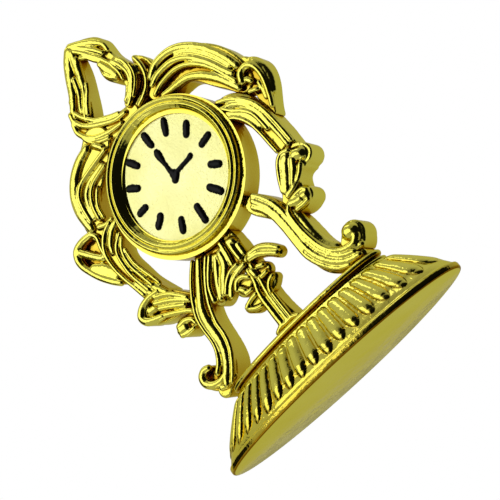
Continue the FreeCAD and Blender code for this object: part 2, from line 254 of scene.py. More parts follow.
def gold(name, tones, painted_shades, roughness, bump, grain, metallic=1.0):
    """Gold with cloudy tones, painted shade in its hollows, uneven polish and a fine grain.

    The rows of painted shade are (distance, colours by openness); roughness is its lowest and highest."""
    m, nodes, links, shader = new_material(name)
    coords = nodes.new("ShaderNodeTexCoord").outputs["Object"]
    shader.inputs["Metallic"].default_value = metallic
    shader.inputs["Specular Tint"].default_value = EDGE_TINT
    cloud = noise_node(nodes, links, coords, CLOUD_SCALE, 4.0)
    colour = ramp(nodes, links, cloud.outputs["Fac"], tones).outputs["Color"]
    # painted shade: the colour darkened toward amber brown in crevices and inside openings
    for distance, stops in painted_shades:
        colour = painted_hollow_shade(nodes, links, colour, distance, stops)
    links.new(colour, shader.inputs["Base Color"])
    wear = noise_node(nodes, links, coords, WEAR_SCALE, 3.0)
    span = nodes.new("ShaderNodeMapRange")
    span.inputs["From Min"].default_value = WEAR_SPAN[0]
    span.inputs["From Max"].default_value = WEAR_SPAN[1]
    span.inputs["To Min"].default_value = roughness[0]
    span.inputs["To Max"].default_value = roughness[1]
    links.new(wear.outputs["Fac"], span.inputs["Value"])
    links.new(span.outputs["Result"], shader.inputs["Roughness"])
    add_relief(nodes, links, coords, shader, (grain, 3.0, 0.55), bump, GRAIN_DEPTH)
    return m


def enamel():
    m, nodes, links, shader = new_material("black_enamel")
    coords = nodes.new("ShaderNodeTexCoord").outputs["Object"]
    shader.inputs["Base Color"].default_value = (0.002, 0.002, 0.002, 1)
    shader.inputs["Roughness"].default_value = 0.12
    shader.inputs["Specular IOR Level"].default_value = 0.12
    add_relief(nodes, links, coords, shader, (1500.0, 2.0, 0.5), 0.5, ORANGE_PEEL)
    return m


# painted shade: how closed in a point is, from 0 to 1, sets its colour, darker and browner in crevices and
# inside openings, within each of two distances in metres
CREVICE_PAINTED_SHADE = (0.0009, [(0.12, (0.42, 0.27, 0.05, 1)), (0.38, (0.86, 0.74, 0.42, 1)), (0.7, (1, 1, 1, 1))])
INSIDE_PAINTED_SHADE = (0.009, [(0.30, (0.60, 0.40, 0.12, 1)), (0.56, (0.86, 0.76, 0.50, 1)), (0.8, (1, 1, 1, 1))])
PLATE_TONES = [
    (0.30, (0.87, 0.79, 0.10, 1)), (0.50, (0.92, 0.85, 0.13, 1)), (0.72, (0.95, 0.89, 0.17, 1))]
DIAL_TONES = [
    (0.34, (0.86, 0.84, 0.30, 1)), (0.50, (0.92, 0.90, 0.38, 1)), (0.66, (0.97, 0.96, 0.46, 1))]
GOLD = gold("polished_gold_plate", PLATE_TONES, [CREVICE_PAINTED_SHADE, INSIDE_PAINTED_SHADE], (0.07, 0.15), 0.65, 900.0)
GILT = gold("satin_dial_gilt", DIAL_TONES, [], (0.24, 0.34), 0.45, 4200.0, metallic=0.5)
ENAMEL = enamel()

# ------------------------------------------------------------ oval foot
FOOT = (plinth_high - plinth_low)[:2] / 2
FOOT_X = (plinth_high[0] + plinth_low[0]) / 2
RIM = 0.22                       # rounding of the foot's lower edge
LIP_TOP = 0.6
STAND_BACK = 0.17                # how far the slope stands inside the lip just above it
STAND_BACK_ABOVE = 0.10          # and from STAND_BACK_RISE above the lip on
STAND_BACK_RISE = 1.5
NECK = np.array([9.7, 3.3])      # half width and half depth where the slope ends
NECK_SHIFT = 0.25                # the neck stands this far right of the rim
RAIL_X = FOOT_X + NECK_SHIFT
SWELL = 0.25                     # how far the slope swells out halfway up
FLUTES = 36
FLUTE_TOP = 5.2
FLUTE_LOW = 1.0                  # height where the flutes begin at the front and the back
END_RISE = 0.35                  # how much higher they begin at the ends of the oval
POINT = 1.25                     # height over which a flute grows from its lower tip
HEAD, HEAD_FADE = 0.72, 0.42     # a flute's round top starts this far down, and fades over this
FLUTE_WIDTH = 0.84               # share of its pitch that a flute takes
FLUTE_OUT = 0.368                # how far a flute stands out
FLUTE_FULLNESS = 0.62            # under 1 makes a flute's cross-section blunter than a parabola
GROOVE = 0.112                   # depth of the ground between the flutes
LEAN = 0.10                      # how strongly the lower ends crowd toward the front and the back
STEPS_PER_FLUTE = 30
OVAL_STEPS = 360


def oval_row(x, half_width, half_depth, z, angles, out=0):
    """Points of an oval at a height, moved out along its normal by out."""
    c, s = np.cos(angles), np.sin(angles)
    nx, ny = c / half_width, s / half_depth
    n = np.hypot(nx, ny)
    flat = np.full(len(angles), z)
    return np.stack([x + half_width * c + nx / n * out, half_depth * s + ny / n * out, flat], 1)


def foot_sizes(z):
    """Half width and half depth of the foot at a height, and the share of the slope climbed."""
    t = np.clip((z - LIP_TOP) / (FLUTE_TOP - LIP_TOP), 0, 1)
    half = FOOT + (NECK - FOOT) * t + SWELL * 4 * t * (1 - t)
    return half[0], half[1], t


def arc_share(count=2880):
    """Share of the neck's edge run at each angle, so that the flutes are evenly spaced there."""
    a = np.linspace(0, 2 * np.pi, count + 1)
    p = np.stack([NECK[0] * np.cos(a), NECK[1] * np.sin(a)], 1)
    run = np.r_[0, np.cumsum(np.linalg.norm(np.diff(p, axis=0), axis=1))]
    return a, run / run[-1]


SHARE_ANGLES, SHARE_RUN = arc_share()


def flute_height(angle, z):
    """How far the fluted skin stands out of the slope at an angle and height."""
    t = foot_sizes(z)[2]
    c = np.cos(angle)
    top_c = np.clip(c * (1 + LEAN * (1 - t) * (1 - c * c)), -1, 1)
    top_angle = np.where(np.sin(angle) >= 0, np.arccos(top_c), 2 * np.pi - np.arccos(top_c))
    share = np.interp(top_angle, SHARE_ANGLES, SHARE_RUN) * FLUTES
    number = np.floor(share)
    phase = (share - number - 0.5) * 2
    uneven = 0.06 * np.sin(number * 2.4) + 0.04 * np.sin(number * 5.1)
    low = FLUTE_LOW + uneven + END_RISE * c ** 2
    below = np.clip((low + POINT - z) / POINT, 0, None)
    above = np.clip((z - (FLUTE_TOP - HEAD)) / HEAD_FADE, 0, None)
    bulge = 1 - (phase / FLUTE_WIDTH) ** 2 - below ** 2 - above ** 2
    ridge = np.clip(bulge, 0, 1) ** FLUTE_FULLNESS * FLUTE_OUT
    inside = (z > low - 0.1) & (z < FLUTE_TOP)
    groove = np.where(inside, GROOVE * np.clip((z - low) / 0.5, 0, 1), 0)
    return ridge - groove


def build_plinth():
    around = FLUTES * STEPS_PER_FLUTE
    angles = np.linspace(0, 2 * np.pi, around, endpoint=False)
    # rows of height, inset and whether the row is fluted
    profile = [(z, RIM - math.sqrt(RIM ** 2 - (RIM - z) ** 2), 0) for z in np.linspace(0, RIM, 6)]
    profile += [(z, 0, 0) for z in np.linspace(RIM + 0.12, LIP_TOP - 0.1, 3)]
    profile += [(LIP_TOP, 0.04, 0), (LIP_TOP + 0.06, 0.12, 0), (LIP_TOP + 0.14, STAND_BACK, 0)]
    for z in np.linspace(LIP_TOP + 0.24, FLUTE_TOP, 74):
        rise = min((z - LIP_TOP) / STAND_BACK_RISE, 1)
        profile.append((z, STAND_BACK + (STAND_BACK_ABOVE - STAND_BACK) * rise, 1))
    rows = []
    for z, inset, fluted in profile:
        half_width, half_depth, t = foot_sizes(z)
        out = -inset + (flute_height(angles, z) if fluted else 0)
        rows.append(oval_row(FOOT_X + NECK_SHIFT * t, half_width, half_depth, z, angles, out))
    ends = [[FOOT_X, 0, 0], [RAIL_X, 0, FLUTE_TOP]]
    return np.vstack(rows + [ends]) * MM, skin_faces(len(rows), around)


def build_oval(profile):
    """Closed oval body from rows of (half width, half depth, height)."""
    angles = np.linspace(0, 2 * np.pi, OVAL_STEPS, endpoint=False)
    rows = [oval_row(RAIL_X, half_width, half_depth, z, angles) for half_width, half_depth, z in profile]
    ends = [[RAIL_X, 0, profile[0][2]], [RAIL_X, 0, profile[-1][2]]]
    return np.vstack(rows + [ends]) * MM, skin_faces(len(rows), OVAL_STEPS)


verts, faces = build_plinth()
finish_piece(new_object("base_plinth_skin", verts, faces, GOLD), "base_plinth")

RAIL = (9.6, 2.6)                # half width and half depth
# two beads with a deep groove between them: rows of (out from the rail's oval, height)
rail_profile = curve_through([
    (-0.15, 4.9), (0.0, 5.0), (0.04, 5.18), (-0.06, 5.34), (-0.36, 5.42), (-0.52, 5.5), (-0.44, 5.6),
    (-0.16, 5.68), (-0.06, 5.82), (-0.1, 6.02), (-0.28, 6.16), (-0.5, 6.2), (-0.72, 6.14), (-0.8, 6.06),
    (-1.3, 6.05)], 5)
verts, faces = build_oval([(RAIL[0] + out, RAIL[1] + out, z) for out, z in rail_profile])
finish_piece(new_object("base_rail_skin", verts, faces, GOLD), "base_rail")


# ------------------------------------------------------------ dial
CRESCENT = 0.62                  # most the cove widens by, toward ten o'clock
CRESCENT_AT = math.radians(145)
CRESCENT_FOCUS = 2.5             # higher keeps the widening nearer to that direction
LATHE_STEPS = 256


def lathe(profile, drop=0.0):
    """Turned body about an axis drop below the dial's, from a closed ring of (radius, y, share).

    Share is how much of the cove's crescent the row takes, none where it is left out."""
    angles = np.linspace(0, 2 * np.pi, LATHE_STEPS, endpoint=False)
    crescent = CRESCENT * np.clip(np.cos(angles - CRESCENT_AT), 0, 1) ** CRESCENT_FOCUS
    rows = []
    for radius, y, *share in profile:
        reach = radius - crescent * (share[0] if share else 0)
        rows.append(np.stack([DIAL_X + reach * np.cos(angles), np.full(LATHE_STEPS, y),
                              DIAL_Z - drop + reach * np.sin(angles)], 1))
    faces = []
    for i in range(len(rows)):
        this, following = i * LATHE_STEPS, (i + 1) % len(rows) * LATHE_STEPS
        for j in range(LATHE_STEPS):
            k = (j + 1) % LATHE_STEPS
            faces.append((this + j, following + j, following + k, this + k))
    return np.vstack(rows) * MM, faces


R_OUT = (bezel_high[0] - bezel_low[0]) / 2
R_IN = (plate_high[0] - plate_low[0]) / 2
R_CASE = (case_high[0] - case_low[0]) / 2
CASE_Z = (case_high[2] + case_low[2]) / 2
CASE_BACK = case_high[1]
Y_FRONT = bezel_low[1]
Y_JOIN = bezel_high[1]
# a round outer bead, a groove, an inner bead and the step down to the cove
bezel_curve = curve_through([
    (R_OUT - 0.02, Y_JOIN), (R_OUT, Y_JOIN - 0.2), (R_OUT - 0.02, Y_FRONT + 0.3),
    (R_OUT - 0.12, Y_FRONT + 0.1), (R_OUT - 0.3, Y_FRONT + 0.02), (R_OUT - 0.46, Y_FRONT + 0.1),
    (R_OUT - 0.56, Y_FRONT + 0.16), (R_OUT - 0.68, Y_FRONT + 0.08), (R_OUT - 0.85, Y_FRONT + 0.03),
    (R_OUT - 1.0, Y_FRONT + 0.12), (R_OUT - 1.1, Y_FRONT + 0.24), (R_IN + 0.02, Y_FRONT + 0.34)], 6)
# inside the ring a polished cove slopes down to the dial floor, widest toward ten o'clock
COVE = 0.08                      # its width where it is narrowest
cove_top = np.array([R_IN + 0.02, Y_FRONT + 0.34, 0])
cove_foot = np.array([R_IN - COVE, DIAL_FLOOR, 1])
bezel_section = [(radius, y, 0) for radius, y in bezel_curve]
bezel_section += [cove_top, (cove_top[0] - 0.03, cove_top[1] + 0.05, 0.04)]
bezel_section += [cove_top + (cove_foot - cove_top) * t for t in (0.3, 0.5, 0.7, 0.9)]
bezel_section += [cove_foot, (cove_foot[0], DIAL_FLOOR + 0.05, 1), (R_IN + 0.01, Y_JOIN, 0)]
verts, faces = lathe(bezel_section)
finish_piece(new_object("bezel_skin", verts, faces, GOLD), "bezel")

CASE_EDGE = 0.3                  # rounding of the case's back edge
CASE_HOLE, PLATE_HOLE = 0.02, 0.01   # radius of the pinhole left on a turned body's axis
case_wall = R_CASE - 0.01
case_section = [(case_wall, Y_JOIN), (case_wall, CASE_BACK - CASE_EDGE)]
for angle in np.linspace(0.3, math.pi / 2, 5):
    case_section.append((case_wall - CASE_EDGE * (1 - math.cos(angle)),
                         CASE_BACK - CASE_EDGE + CASE_EDGE * math.sin(angle)))
case_section += [(CASE_HOLE, CASE_BACK), (CASE_HOLE, plate_high[1]), (R_IN - 0.3, plate_high[1]),
                 (R_IN - 0.3, Y_JOIN)]
verts, faces = lathe(case_section, drop=DIAL_Z - CASE_Z)
finish_piece(new_object("dial_case_skin", verts, faces, GOLD), "dial_case")

# the dial floor is a flat disc, its edge held under the cove
plate_section = [
    (R_IN, plate_high[1]), (PLATE_HOLE, plate_high[1]), (PLATE_HOLE, DIAL_FLOOR), (R_IN, DIAL_FLOOR)]
verts, faces = lathe(plate_section)
finish_piece(new_object("dial_plate_skin", verts, faces, GILT), "dial_plate", slot="dial_gilt")

ENAMEL_LIFT = 0.2                # how far the painted strokes stand off the dial floor
ENAMEL_ROOT = 0.03               # how far their middle lies under it
UNEVEN_WIDTH, UNEVEN_PLACE = 0.05, 0.018
STROKE_AROUND = 16
ENAMEL_VOXEL, ENAMEL_PASSES = 0.05, 3


def painted(points, seed):
    """A slightly uneven raised stroke through (x, z, half width) from the dial's middle."""
    rng = np.random.default_rng(seed)
    path = curve_through([(DIAL_X + x, DIAL_Z + z, half) for x, z, half in points], 6)
    path[:, 2] *= 1 + rng.normal(0, UNEVEN_WIDTH, len(path))
    path[:, :2] += rng.normal(0, UNEVEN_PLACE, (len(path), 2))
    crest = np.full(len(path), DIAL_FLOOR - ENAMEL_LIFT)
    deep = np.full(len(path), ENAMEL_LIFT + ENAMEL_ROOT)
    return tube(np.column_stack([path, crest, deep]), STROKE_AROUND)


def finish_enamel(node, strokes):
    skin = soften(node + "_skin", strokes, ENAMEL, ENAMEL_VOXEL, ENAMEL_PASSES)
    finish_piece(skin, node, slot="black_enamel")


# inner and outer end of each painted mark from the dial's middle, from twelve o'clock on
MARK_ENDS = [
    ((0.07, 3.66), (0.07, 5.66)), ((1.87, 3.36), (2.77, 5.06)), ((3.37, 1.66), (4.47, 2.96)),
    ((3.87, -0.04), (5.57, 0.16)), ((3.37, -1.94), (4.57, -2.94)), ((1.97, -3.34), (2.97, -5.04)),
    ((-0.03, -3.74), (-0.2, -5.94)), ((-1.93, -3.44), (-2.83, -4.94)), ((-3.43, -1.74), (-4.73, -2.64)),
    ((-4.03, -0.04), (-5.53, -0.04)), ((-3.53, 1.76), (-4.83, 2.86)), ((-2.23, 3.36), (-3.13, 4.96))]
MARK_HALF = 0.42                 # half the width of a mark

marks = []
for hour, (inner, outer) in enumerate(MARK_ENDS):
    inner, outer = np.array(inner), np.array(outer)
    inset = (outer - inner) / np.linalg.norm(outer - inner) * MARK_HALF * 0.8
    start, stop = inner + inset, outer - inset
    middle = (start + stop) / 2
    stations = [(*start, MARK_HALF * 0.92), (*middle, MARK_HALF), (*stop, MARK_HALF * 0.96)]
    marks.append(painted(stations, 100 + hour))
finish_enamel("hour_marks", marks)
finish_enamel("minute_hand", [
    painted([(0.0, 0.6, 0.27), (0.0, 1.6, 0.26), (0.02, 2.1, 0.36), (0.04, 2.7, 0.44),
             (0.05, 3.1, 0.36)], 1)])
finish_enamel("hour_hand", [
    painted([(0.45, 0.0, 0.3), (1.4, 0.0, 0.26), (2.1, 0.02, 0.28), (2.55, 0.03, 0.33)], 2)])
finish_enamel("hand_hub", [
    painted([(-0.1, -0.4, 0.4), (0.1, 0.0, 0.5), (0.0, 0.6, 0.3)], 3),
    painted([(0.0, -0.35, 0.42), (0.45, -0.05, 0.34)], 4)])

# ------------------------------------------------------------ scrollwork
BACKING_DROP = 0.5               # the ground between strands lies this far behind their crests
DEEP_DROP = {                    # where it lies further back, or less far
    "crest_collar_right": 0.95, "upper_spray_right": 0.75, "web_leaf": 0.7, "shoulder_curl_right": 0.85,
    "shoulder_leaf_left": 1.1, "mid_leaf_left": 0.95, "foot_curl_left": 1.0, "stem_bud_left": 0.5,
    "stem_bud_right": 0.5, "horn_left": 0.4, "horn_right": 0.35, "stem_leaf_left": 0.4,
    "stem_leaf_right": 0.35, "crest_strand_left": 0.45, "crest_collar_left": 0.45}
SPREAD = 0.09                    # strands are drawn a little wide, as smoothing thins them, mm
THINNEST = 0.17                  # least half depth of a strand
STRAND_AROUND = 18
SCROLL_VOXEL, SCROLL_PASSES = 0.065, 12

# Each strand: how far it lies behind the front, how deep it is for its half width, and the
# stations along its middle (x from the dial's axis, height, half width).
STRANDS = {
    "leg_right": [
        (0.05, 0.9, [(4.2, 17.2, 0.18), (4.8, 16.3, 0.2), (5.15, 15.2, 0.2), (5.3, 13.5, 0.2),
                     (5.3, 11.5, 0.2), (5.35, 10.2, 0.2), (5.75, 9.0, 0.2), (6.3, 8.0, 0.2),
                     (7.0, 7.2, 0.2), (7.9, 6.75, 0.2)]),
        (0.0, 0.7, [(4.6, 17.6, 0.25), (5.3, 16.2, 0.3), (5.6, 15.0, 0.32), (5.75, 13.0, 0.34),
                    (5.75, 11.0, 0.34), (6.0, 9.8, 0.32), (6.5, 8.7, 0.32), (7.2, 7.8, 0.32),
                    (8.1, 7.1, 0.32), (9.2, 6.8, 0.25)]),
        (0.02, 0.8, [(4.9, 18.0, 0.2), (5.5, 17.1, 0.25), (6.0, 15.9, 0.26), (6.2, 14.5, 0.26),
                     (6.25, 12.8, 0.25), (6.3, 11.2, 0.25), (6.6, 9.8, 0.25), (7.2, 8.6, 0.25),
                     (8.0, 7.8, 0.25), (9.0, 7.35, 0.2)]),
        (0.0, 1.0, [(7.0, 14.7, 0.15), (6.6, 14.2, 0.16), (6.5, 12.8, 0.16), (6.65, 11.2, 0.16),
                    (6.95, 9.9, 0.17), (7.5, 8.85, 0.18), (8.3, 8.2, 0.2), (9.1, 8.0, 0.2)]),
        (0.3, 0.9, [(6.95, 14.0, 0.35), (7.0, 13.0, 0.42), (7.0, 11.5, 0.42), (7.2, 10.2, 0.4),
                    (7.6, 9.4, 0.35), (8.0, 8.9, 0.3)])],
    "leg_left": [
        (0.0, 0.62, [(-3.3, 17.5, 0.22), (-4.35, 16.25, 0.28), (-5.35, 14.95, 0.36),
                     (-6.05, 13.9, 0.45), (-6.4, 12.7, 0.55), (-6.45, 11.4, 0.56), (-6.5, 10.2, 0.5),
                     (-6.85, 9.1, 0.42), (-7.5, 8.1, 0.34), (-8.2, 7.4, 0.3), (-8.5, 6.9, 0.25)]),
        (0.02, 1.0, [(-3.9, 17.85, 0.14), (-5.0, 16.75, 0.16), (-5.9, 15.6, 0.16), (-6.5, 14.6, 0.18),
                     (-6.95, 13.6, 0.18), (-7.1, 12.4, 0.16), (-7.1, 10.8, 0.16), (-7.35, 9.8, 0.18),
                     (-7.9, 8.9, 0.22), (-8.6, 8.3, 0.25)]),
        (0.05, 1.0, [(-2.5, 17.2, 0.14), (-3.6, 16.0, 0.15), (-4.6, 14.6, 0.16), (-5.25, 13.2, 0.16),
                     (-5.6, 11.8, 0.15), (-5.65, 10.5, 0.15), (-5.95, 9.3, 0.16), (-6.6, 8.2, 0.17),
                     (-7.3, 7.3, 0.17), (-7.9, 6.7, 0.17)])],
    "foot_curl_right": [
        (0.0, 0.75, [(9.75, 9.0, 0.72), (9.95, 8.85, 0.72)]),
        (0.0, 0.9, [(8.2, 8.2, 0.2), (8.9, 7.95, 0.25), (9.5, 7.95, 0.3), (10.0, 8.3, 0.35)]),
        (0.2, 0.9, [(8.6, 7.6, 0.2), (9.3, 7.45, 0.25), (9.9, 7.4, 0.25)])],
    "foot_curl_left": [
        (0.0, 1.0, [(-7.8, 7.75, 0.24), (-8.8, 7.55, 0.3), (-9.7, 7.8, 0.36), (-10.25, 8.4, 0.4),
                    (-10.2, 9.05, 0.4), (-9.65, 9.4, 0.34), (-9.1, 9.3, 0.28)]),
        (0.15, 0.9, [(-7.4, 7.0, 0.22), (-8.4, 6.8, 0.24), (-9.2, 7.0, 0.2)])],
    "side_spray_right": [
        (0.02, 0.9, [(7.9, 27.1, 0.2), (8.9, 26.5, 0.2), (9.8, 25.6, 0.2), (10.5, 24.5, 0.2),
                     (10.9, 23.2, 0.18), (11.05, 21.8, 0.16), (11.1, 20.2, 0.16), (11.1, 19.0, 0.15)]),
        (0.05, 0.8, [(8.1, 26.2, 0.2), (8.8, 25.9, 0.2), (9.7, 25.1, 0.25), (10.2, 24.1, 0.28),
                     (10.5, 22.9, 0.28), (10.55, 21.6, 0.25), (10.6, 20.0, 0.2), (10.6, 19.0, 0.2)]),
        (0.0, 1.0, [(7.8, 26.4, 0.14), (8.6, 25.3, 0.15), (9.3, 24.6, 0.16), (9.8, 23.8, 0.16),
                    (10.0, 22.9, 0.16), (10.05, 21.5, 0.15)]),
        (0.1, 0.6, [(7.8, 25.5, 0.3), (8.6, 24.8, 0.33), (9.2, 24.0, 0.33), (9.5, 23.0, 0.33),
                    (9.6, 22.2, 0.28)]),
        (0.0, 1.0, [(7.5, 25.2, 0.14), (8.2, 24.75, 0.15), (8.8, 23.9, 0.15), (9.15, 22.9, 0.15),
                    (9.3, 21.7, 0.15), (9.35, 20.3, 0.15), (9.4, 19.2, 0.15)])],
    "side_spray_left": [
        (0.0, 1.0, [(-8.5, 27.3, 0.17), (-9.6, 26.9, 0.18), (-10.45, 26.1, 0.18), (-10.95, 25.0, 0.18),
                    (-11.0, 23.4, 0.18), (-10.75, 21.9, 0.18), (-10.4, 20.6, 0.2), (-10.05, 19.2, 0.22)]),
        (0.0, 1.0, [(-8.3, 25.6, 0.15), (-9.3, 25.0, 0.16), (-9.8, 24.2, 0.16), (-9.95, 23.0, 0.16),
                    (-9.9, 21.6, 0.17), (-9.6, 20.3, 0.18), (-9.3, 19.2, 0.18)]),
        (0.03, 1.0, [(-8.4, 25.1, 0.14), (-9.1, 24.3, 0.15), (-9.4, 23.2, 0.15), (-9.35, 22.0, 0.15),
                     (-9.05, 20.7, 0.16), (-8.7, 19.3, 0.17)]),
        (0.08, 1.0, [(-8.85, 24.0, 0.13), (-8.9, 22.5, 0.14), (-8.65, 21.3, 0.15), (-8.25, 20.0, 0.15),
                     (-7.95, 18.9, 0.16)]),
        (0.15, 0.7, [(-8.0, 26.9, 0.28), (-9.0, 26.5, 0.3), (-9.85, 25.7, 0.28), (-10.2, 24.9, 0.2)]),
        (0.08, 0.6, [(-10.1, 20.6, 0.25), (-9.7, 19.6, 0.38), (-9.35, 18.8, 0.4)]),
        (0.1, 0.7, [(-8.9, 19.5, 0.3), (-8.5, 18.6, 0.3), (-8.0, 17.7, 0.25)])],
    "mid_leaf_right": [
        (0.0, 0.55, [(7.7, 15.9, 0.35), (8.5, 16.9, 0.52), (9.2, 17.9, 0.55), (9.6, 18.2, 0.48)]),
        (0.0, 0.8, [(8.6, 15.9, 0.2), (9.4, 16.8, 0.28), (10.0, 17.6, 0.28)]),
        (0.02, 1.0, [(7.4, 16.1, 0.15), (8.0, 17.3, 0.17), (8.8, 18.4, 0.18), (9.5, 18.75, 0.18),
                     (10.2, 18.5, 0.17)]),
        (-0.03, 0.85, [(10.5, 17.75, 0.56), (10.85, 17.5, 0.6)]),
        (0.05, 0.9, [(7.5, 15.4, 0.16), (8.6, 15.65, 0.2), (9.6, 16.1, 0.2), (10.3, 16.7, 0.2)])],
    "mid_leaf_left": [
        (0.0, 1.1, [(-8.6, 18.45, 0.2), (-9.8, 18.65, 0.26), (-11.0, 18.45, 0.36),
                    (-11.75, 17.85, 0.42), (-11.55, 17.15, 0.42), (-10.75, 16.65, 0.34),
                    (-9.8, 16.25, 0.24)]),
        (0.35, 0.7, [(-10.7, 17.7, 0.45), (-10.1, 17.55, 0.45)]),
        (0.05, 1.0, [(-9.7, 17.75, 0.2), (-8.3, 16.95, 0.22), (-7.1, 16.0, 0.2), (-6.5, 15.4, 0.18)]),
        (0.05, 1.0, [(-9.6, 17.05, 0.18), (-8.4, 16.3, 0.2), (-7.2, 15.45, 0.18)]),
        (0.02, 1.0, [(-9.3, 18.2, 0.19), (-8.0, 17.5, 0.2), (-7.0, 16.45, 0.2), (-6.5, 15.8, 0.18)]),
        (0.08, 1.0, [(-9.6, 16.2, 0.18), (-8.4, 15.5, 0.2), (-7.3, 14.8, 0.2), (-6.9, 14.4, 0.2)])],
    "knee_bud_right": [
        (0.0, 0.7, [(7.2, 14.75, 0.25), (7.8, 14.5, 0.36), (8.25, 14.4, 0.38)]),
        (-0.02, 0.9, [(8.75, 14.4, 0.4), (8.85, 14.3, 0.42)]),
        (0.08, 1.0, [(7.0, 14.85, 0.14), (8.0, 15.0, 0.15), (8.9, 14.95, 0.16), (9.25, 14.6, 0.14)]),
        (0.05, 1.0, [(7.4, 13.9, 0.16), (8.2, 13.8, 0.17), (8.8, 13.8, 0.16)])],
    "knee_bud_left": [
        (0.0, 0.95, [(-7.3, 13.3, 0.18), (-7.5, 13.9, 0.2), (-8.2, 14.25, 0.25), (-9.0, 14.25, 0.32)]),
        (0.0, 0.7, [(-9.05, 13.85, 0.45), (-8.6, 13.75, 0.45)]),
        (0.08, 1.0, [(-9.3, 13.45, 0.2), (-8.6, 13.2, 0.2), (-7.8, 13.1, 0.16)])],
    "upper_spray_right": [
        (0.0, 0.7, [(4.3, 34.5, 0.3), (5.5, 35.05, 0.34), (7.0, 34.95, 0.36), (8.2, 34.4, 0.38),
                    (9.25, 33.5, 0.36), (10.15, 32.3, 0.35), (10.85, 30.9, 0.33), (11.35, 29.5, 0.33),
                    (11.6, 28.3, 0.35)]),
        (0.08, 1.0, [(7.7, 34.1, 0.15), (8.7, 33.35, 0.17), (9.5, 32.35, 0.18), (10.2, 31.1, 0.18),
                     (10.7, 29.9, 0.18), (11.05, 28.8, 0.18)]),
        (0.03, 0.8, [(3.9, 33.75, 0.2), (5.2, 34.1, 0.28), (6.8, 33.9, 0.3), (7.9, 33.3, 0.25),
                     (8.8, 32.35, 0.22), (9.5, 31.2, 0.22), (10.05, 30.0, 0.22), (10.45, 28.9, 0.22),
                     (10.85, 28.0, 0.2)]),
        (0.0, 1.0, [(3.6, 32.8, 0.2), (4.5, 33.05, 0.2), (5.6, 33.1, 0.2), (6.8, 32.95, 0.2),
                    (7.8, 32.45, 0.18), (8.6, 31.7, 0.17), (9.25, 30.8, 0.17), (9.8, 29.7, 0.17),
                    (10.25, 28.4, 0.17), (10.65, 27.2, 0.17)]),
        (0.05, 0.7, [(4.2, 32.1, 0.22), (5.0, 31.9, 0.3), (6.0, 31.7, 0.32), (7.2, 31.35, 0.34),
                     (8.25, 30.55, 0.36), (9.0, 29.6, 0.36), (9.7, 28.4, 0.36), (10.2, 27.2, 0.34),
                     (10.45, 26.5, 0.3)])],
    "upper_spray_left": [
        (0.0, 0.62, [(-5.8, 34.85, 0.4), (-7.4, 34.45, 0.48), (-8.85, 33.6, 0.52), (-9.95, 32.3, 0.56),
                     (-10.5, 30.8, 0.56), (-10.6, 29.4, 0.48), (-10.55, 28.4, 0.4)]),
        (0.0, 1.0, [(-4.2, 33.1, 0.2), (-6.0, 32.95, 0.2), (-7.8, 32.75, 0.2), (-8.95, 32.4, 0.2),
                    (-9.65, 31.6, 0.18), (-9.95, 30.4, 0.17), (-10.05, 29.0, 0.17)]),
        (0.16, 0.7, [(-5.5, 32.3, 0.22), (-7.5, 32.1, 0.24), (-8.75, 31.45, 0.25), (-9.35, 30.3, 0.25),
                     (-9.6, 29.0, 0.25)]),
        (0.02, 1.0, [(-5.2, 31.9, 0.15), (-7.0, 31.65, 0.16), (-7.95, 31.25, 0.17), (-8.6, 30.5, 0.18),
                     (-9.0, 29.5, 0.18), (-9.15, 28.4, 0.18)]),
        (0.05, 1.0, [(-7.4, 30.8, 0.15), (-8.0, 30.2, 0.16), (-8.5, 29.3, 0.16), (-8.65, 28.2, 0.16)]),
        (0.1, 1.0, [(-9.8, 27.9, 0.2), (-9.0, 27.5, 0.2), (-8.1, 27.4, 0.2)]),
        (0.1, 1.0, [(-4.9, 34.5, 0.3), (-4.4, 33.6, 0.25)])],
    "shoulder_curl_right": [
        (-0.02, 1.0, [(11.0, 26.7, 0.3), (11.4, 27.4, 0.34), (12.15, 27.5, 0.34), (12.7, 27.1, 0.28),
                      (12.9, 26.2, 0.22), (12.8, 25.2, 0.2), (12.5, 24.3, 0.2), (12.15, 23.4, 0.2),
                      (11.8, 22.7, 0.16)]),
        (0.3, 0.9, [(12.95, 27.3, 0.4), (13.3, 26.2, 0.42), (13.2, 25.0, 0.4), (12.7, 23.9, 0.32)]),
        (0.1, 0.9, [(11.55, 26.45, 0.28), (11.75, 26.05, 0.22)]),
        (0.2, 1.0, [(12.2, 25.4, 0.18), (12.1, 24.6, 0.2), (11.85, 23.8, 0.18)]),
        (0.12, 1.0, [(11.0, 25.4, 0.16), (11.7, 25.0, 0.15)])],
    "shoulder_leaf_left": [
        (0.0, 0.9, [(-10.9, 28.0, 0.26), (-12.2, 28.2, 0.32), (-13.3, 28.0, 0.36), (-13.8, 27.3, 0.38),
                    (-13.85, 26.4, 0.34), (-13.5, 25.3, 0.3), (-12.9, 24.0, 0.28), (-12.1, 22.8, 0.28),
                    (-11.35, 21.9, 0.26)]),
        (0.0, 0.85, [(-13.3, 27.7, 0.34), (-12.7, 26.85, 0.34), (-12.1, 26.0, 0.32),
                     (-11.4, 25.2, 0.28)]),
        (0.1, 0.45, [(-12.9, 25.2, 0.4), (-12.3, 24.4, 0.7), (-11.7, 23.6, 0.6), (-11.3, 22.8, 0.3)]),
        (0.0, 1.0, [(-10.95, 28.0, 0.22), (-10.6, 27.2, 0.22), (-10.9, 26.0, 0.22), (-11.0, 24.6, 0.22)])],
    "crest_collar_left": [
        (0.0, 0.9, [(-5.1, 39.0, 0.25), (-5.2, 38.2, 0.25), (-4.8, 37.2, 0.25), (-4.1, 36.4, 0.24),
                    (-3.2, 35.7, 0.22), (-2.2, 35.0, 0.2), (-1.2, 34.5, 0.2), (-0.2, 34.3, 0.2)]),
        (0.0, 0.9, [(-4.6, 38.7, 0.2), (-4.3, 37.9, 0.2), (-3.8, 37.1, 0.2), (-3.3, 36.4, 0.2),
                    (-2.5, 35.8, 0.2), (-1.6, 35.2, 0.2), (-0.8, 34.8, 0.18)]),
